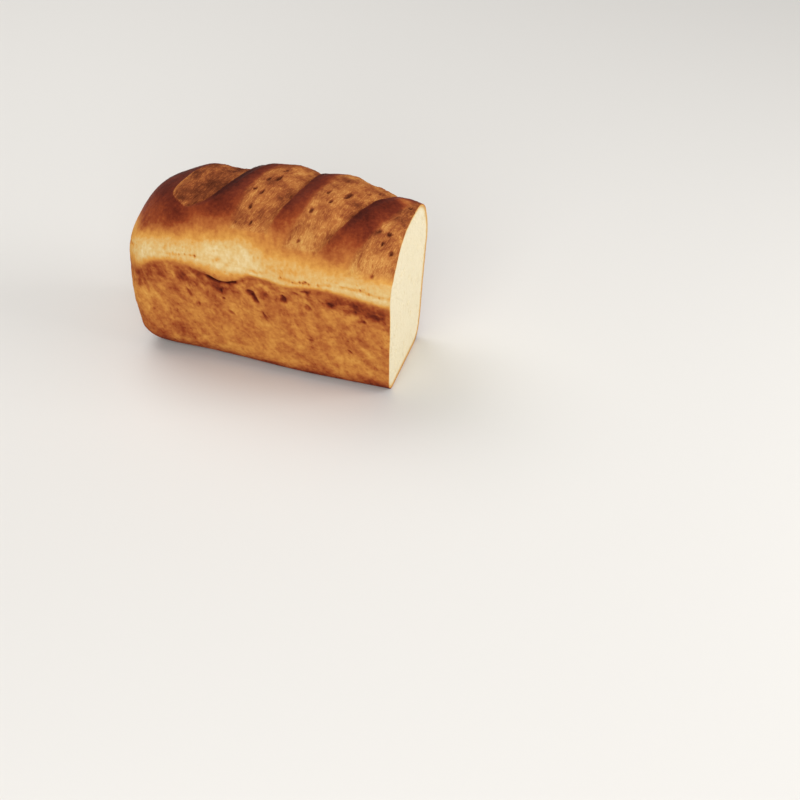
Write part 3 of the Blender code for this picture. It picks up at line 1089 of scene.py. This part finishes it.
@dataclass
class Crust:
    """The baked shell: the whole outside of the loaf, with a thin wall that shows at the cut."""

    form: LoafForm
    baking: Baking
    shift: np.ndarray
    rind: Rind = field(default_factory=Rind)
    long_steps: tuple[int, ...] = (20, 10)
    wide_steps: tuple[int, ...] = (92,)
    high_steps: tuple[int, ...] = (12, 9)
    brim_scales: tuple[float, ...] = (0.985, 0.97)  # of the block's end, for two rings of the rim
    rim_brown: float = 0.15  # the wall's inner edge, where the knife cut it
    rim_fade: float = 0.4  # how soon the skin's brown gives way to it
    under_brown: float = 0.58  # the underside, against the tin's floor
    under_reach: float = 0.5 * MM  # how high that reaches

    def build(self) -> bpy.types.Object:
        """Makes the crust's mesh from a block.

        Returns:
            The crust.
        """
        crust = start_block("crust")
        bpy.ops.object.mode_set(mode="EDIT")
        for axis, steps in enumerate((self.long_steps, self.wide_steps, self.high_steps)):
            divide(crust, axis, steps)
        self._hollow(crust)
        bpy.ops.object.mode_set(mode="OBJECT")
        self._shape(crust)
        return crust

    def _hollow(self, crust: bpy.types.Object) -> None:
        """Opens the cut end and pushes a cavity in from it, in edit mode."""
        choose(crust, "faces", lambda face: min(v.co.x for v in face.verts) > END_FACE)
        bpy.ops.mesh.dissolve_faces(use_verts=False)
        choose(crust, "faces", lambda face: min(v.co.x for v in face.verts) > END_FACE)
        size = 1.0
        for scale in self.brim_scales:
            bpy.ops.mesh.extrude_region_move(TRANSFORM_OT_translate={"value": (0, 0, 0)})
            bpy.ops.transform.resize(value=(1, scale / size, scale / size))
            size = scale
        for near, far in zip((0.0, *self.rind.rings), self.rind.rings):
            bpy.ops.mesh.extrude_region_move(TRANSFORM_OT_translate={"value": (near - far, 0, 0)})

    def _shape(self, crust: bpy.types.Object) -> None:
        """Lays the mesh on the loaf's form, with its relief and its browning."""
        grid = read_points(crust.data)
        size = np.abs(grid[:, 1:]).max(axis=1)
        at_end = grid[:, 0] < -END_FACE
        outer, inner = 1.0, self.brim_scales[-1]
        share = np.where(at_end, 0, np.clip((outer - size) / (outer - inner), 0, 1))
        flat = grid.copy()
        flat[:, 1:] /= np.where(share > 0.01, size, 1)[:, None]
        skin = self.form.skin(flat)
        baked = self.baking.at(skin)
        inside = share > 0.99
        raised = baked.raise_by * np.where(inside, self.rind.relief(flat[:, 0]), 1)
        raised -= share * self.rind.depth(flat[:, 0])
        points = skin.plain + skin.out * raised[:, None]
        points[:, 0] += np.where(share > 0, 0, baked.shove * (1 - ease(0.9, 1.0, skin.along)))
        points = self.form.lean(points, skin.along)
        foot = skin.plain[:, 2] < ON_FLOOR
        points[foot & (share == 0), 2] = 0
        write_points(crust.data, points + self.shift)
        underneath = skin.plain[:, 2] < self.under_reach
        brown = np.where(underneath, self.under_brown, baked.brown)
        note(crust.data, "brown", mix(brown, self.rim_brown, share**self.rim_fade))
        note(crust.data, "torn", np.where(share > 0, 0.0, baked.torn))
        note(crust.data, "gloss", np.where(share > 0, 0.0, baked.gloss))
        note(crust.data, "across", baked.across)
        note(crust.data, "around", 0.2 * np.radians(self.form.turn(skin.plain)) * DOME_RADIUS)

    def dress(self, crust: bpy.types.Object) -> None:
        """Gives the crust its finish."""
        crust.data.materials.append(BakedCrust().make())
        finish_piece(crust, 50)


@dataclass
class Crumb:
    """The soft inside, which shows at the cut as a finely pored face."""

    form: LoafForm
    baking: Baking
    shift: np.ndarray
    rind: Rind = field(default_factory=Rind)
    tuck: float = 0.25 * MM  # how far it reaches into the crust's wall
    recess: float = 0.25 * MM  # how far its edge stands back from the crust's
    wide_steps: tuple[int, ...] = (13, 15)
    high_steps: tuple[int, ...] = (15, 18)
    cell: float = 1.9 * MM  # spacing of the finest pores
    edge_reach: float = 4.5 * MM  # how far in from the crust the crumb is tinged
    grain: Grain = field(default_factory=lambda: Grain(71))

    def build(self) -> bpy.types.Object:
        """Makes the crumb's mesh from a block.

        Returns:
            The crumb.
        """
        crumb = start_block("crumb")
        bpy.ops.object.mode_set(mode="EDIT")
        for ring in self.rind.rings[:-1]:
            bpy.ops.mesh.select_all(action="SELECT")
            bpy.ops.mesh.bisect(plane_co=(1 - ring, 0, 0), plane_no=(1, 0, 0))
        divide(crumb, 1, self.wide_steps)
        divide(crumb, 2, self.high_steps)
        choose(crumb, "faces", lambda face: max(v.co.x for v in face.verts) < -END_FACE)
        bpy.ops.mesh.dissolve_faces(use_verts=False)
        bpy.ops.object.mode_set(mode="OBJECT")
        self._shape(crumb)
        return crumb

    def _shape(self, crumb: bpy.types.Object) -> None:
        """Lays the mesh inside the crust, with pores on the cut face."""
        grid = read_points(crumb.data)
        on_cut = grid[:, 0] > END_FACE
        size = np.where(on_cut, np.abs(grid[:, 1:]).max(axis=1), 1.0)
        flat = grid.copy()
        flat[:, 1:] /= np.maximum(size, 1e-6)[:, None]
        flat[size < 1e-6, 1:] = (0, 1)
        flat[flat[:, 0] < -END_FACE, 0] = 1 - self.rind.rings[-1]
        skin = self.form.skin(flat)
        baked = self.baking.at(skin)
        raised = baked.raise_by * self.rind.relief(flat[:, 0])
        raised += self.tuck - self.rind.depth(flat[:, 0])
        outline = skin.plain + skin.out * raised[:, None]
        points = skin.start + size[:, None] * (outline - skin.start)
        from_edge = np.linalg.norm(outline - points, axis=1)
        pores, hollow = self._pores(points, from_edge)
        points = self.form.lean(points, skin.along)
        points[:, 0] -= np.where(on_cut, self.recess + pores, 0)
        write_points(crumb.data, points + self.shift)
        note(crumb.data, "edge", 1 - ease(0, self.edge_reach, from_edge))
        note(crumb.data, "hollow", hollow)

    def _pores(self, points: np.ndarray, from_edge: np.ndarray) -> tuple[np.ndarray, np.ndarray]:
        """The crumb's open cells.

        Args:
            points: Points of the cut face.
            from_edge: How far each is from the crust.

        Returns:
            How deep each point lies, and how shaded it is from 0 to 1.
        """
        bends = [self.grain.smooth(points + n, 6 * MM) for n in (0.1, 0.4, 0.7)]
        flat = (points + 1.2 * MM * np.stack(bends, -1)) * (1, 1.15, 0.8)
        bubble, owner = self._cups(flat, 1.0, 0.62)
        bubble = bubble * (0.3 + 0.7 * owner)
        large, owner = self._cups(flat + 0.31, 2.1, 0.42)
        large = large * (owner > 0.72)
        hole, owner = self._cups(flat + 0.57, 5.5, 0.2)
        hole = hole * (owner > 0.8)
        inner = ease(0.4 * MM, 3 * MM, from_edge)
        streak = self.grain.smooth(points * (1, 1.6, 0.25), 5 * MM)
        depth = 0.45 * MM * bubble + 0.9 * MM * large + 1.6 * MM * hole + 0.12 * MM * streak
        shade = 0.35 * bubble + 0.5 * large + 0.8 * hole + 0.12 * streak
        return depth * inner, np.clip(shade * inner, 0, 1)

    def _cups(
        self, points: np.ndarray, size: float, radius: float
    ) -> tuple[np.ndarray, np.ndarray]:
        """Round hollows in a lattice.

        Args:
            points: Where to read them.
            size: The lattice's spacing, in cells.
            radius: Each hollow's radius, in parts of that.

        Returns:
            1 in the middle of a hollow and 0 outside, and a number that belongs to each.
        """
        near, owner = self.grain.cells(points, size * self.cell)
        return np.clip(1 - (near / radius) ** 2, 0, 1), owner

    def dress(self, crumb: bpy.types.Object) -> None:
        """Gives the crumb its finish."""
        crumb.data.materials.append(WhiteCrumb().make())
        finish_piece(crumb, 70)


# ---------------------------------------------------------------------------
# The studio
# ---------------------------------------------------------------------------


class Lamp(Enum):
    """The studio's soft lamps: where each one stands, how large it is, and its power."""

    TOP = ((-0.55, 0.35, 1.10), 0.9, 8.0)
    FRONT = ((0.25, -1.30, 0.75), 1.0, 13.0)
    SIDE = ((1.10, 0.10, 0.55), 0.7, 7.0)


@dataclass
class Studio:
    """Plain pale floor, soft lamps, and a camera that looks down at the cut end from its front."""

    foot_of_cut: np.ndarray
    stand: Vector = field(default_factory=lambda: Vector((404.2, -1183.4, 898.8)) * MM)
    azimuth: float = 18.977
    elevation: float = 36.673
    roll: float = -0.433
    lens: float = 94.74
    sensor: float = 36.0
    floor_size: float = 16.0
    paper: str = "#DEDBD6"
    sky: float = 0.36
    aim: Vector = field(default_factory=lambda: Vector((0, 0, 0.06)))  # what the lamps look at

    def build(self) -> None:
        """Makes the floor, the lamps, the sky and the camera."""
        self._floor()
        for lamp in Lamp:
            self._lamp(lamp)
        self._sky()
        self._camera()
        bpy.context.scene.view_settings.view_transform = "Standard"

    def _floor(self) -> None:
        """A pale, matt floor."""
        bpy.ops.object.select_all(action="DESELECT")
        bpy.ops.mesh.primitive_plane_add(size=self.floor_size, location=(0, 0, 0))
        floor = bpy.context.object
        floor.name = "floor"
        material, _, shader = new_material("pale_paper")
        shader.inputs["Base Color"].default_value = linear(self.paper)
        shader.inputs["Roughness"].default_value = 0.9
        floor.data.materials.append(material)

    def _lamp(self, lamp: Lamp) -> None:
        """A square soft lamp that looks at the loaf."""
        place, size, power = lamp.value
        light = bpy.data.lights.new(lamp.name.lower(), "AREA")
        light.size = size
        light.energy = power
        holder = bpy.data.objects.new(lamp.name.lower(), light)
        holder.location = place
        sight = self.aim - Vector(place)
        holder.rotation_euler = sight.to_track_quat("-Z", "Y").to_euler()
        bpy.context.scene.collection.objects.link(holder)

    def _sky(self) -> None:
        """Even white light from all round."""
        world = bpy.data.worlds.new("studio")
        world.use_nodes = True
        sky = world.node_tree.nodes["Background"]
        sky.inputs["Color"].default_value = (1, 1, 1, 1)
        sky.inputs["Strength"].default_value = self.sky
        bpy.context.scene.world = world

    def _camera(self) -> None:
        """The camera, with a long lens."""
        data = bpy.data.cameras.new("camera")
        data.lens = self.lens
        data.sensor_width = self.sensor
        camera = bpy.data.objects.new("camera", data)
        level = math.radians(90 - self.elevation)
        turn = Matrix.Rotation(math.radians(self.azimuth), 4, "Z")
        tilt = Matrix.Rotation(level, 4, "X")
        roll = Matrix.Rotation(math.radians(self.roll), 4, "Z")
        place = Matrix.Translation(Vector(self.foot_of_cut) + self.stand)
        camera.matrix_world = place @ turn @ tilt @ roll
        bpy.context.scene.collection.objects.link(camera)
        bpy.context.scene.camera = camera


def place_on_frame(form: LoafForm) -> np.ndarray:
    """Where the foot of the cut lies in the frame, from the box that the CAD loaf fills."""
    low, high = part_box("loaf")
    count = 41
    line = np.linspace(-1, 1, count)
    top = np.stack([np.ones(count), line, np.ones(count)], -1)
    front = np.stack([np.ones(count), -np.ones(count), line], -1)
    skin = form.skin(np.concatenate([top, front]))
    furthest = form.lean(skin.plain, skin.along)[:, 0].max()
    return np.array([high.x - furthest, (low.y + high.y) / 2, 0.0])


def main() -> None:
    """Builds the loaf around the frame."""
    logging.basicConfig(level=logging.INFO, format="%(name)s %(message)s")
    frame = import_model()
    log.info("frame nodes: %s", ", ".join(frame["nodes"]))
    form = LoafForm()
    baking = Baking(form)
    shift = place_on_frame(form)
    Studio(shift).build()
    for maker in (Crust(form, baking, shift), Crumb(form, baking, shift)):
        maker.dress(maker.build())


if __name__ == "__main__":
    main()
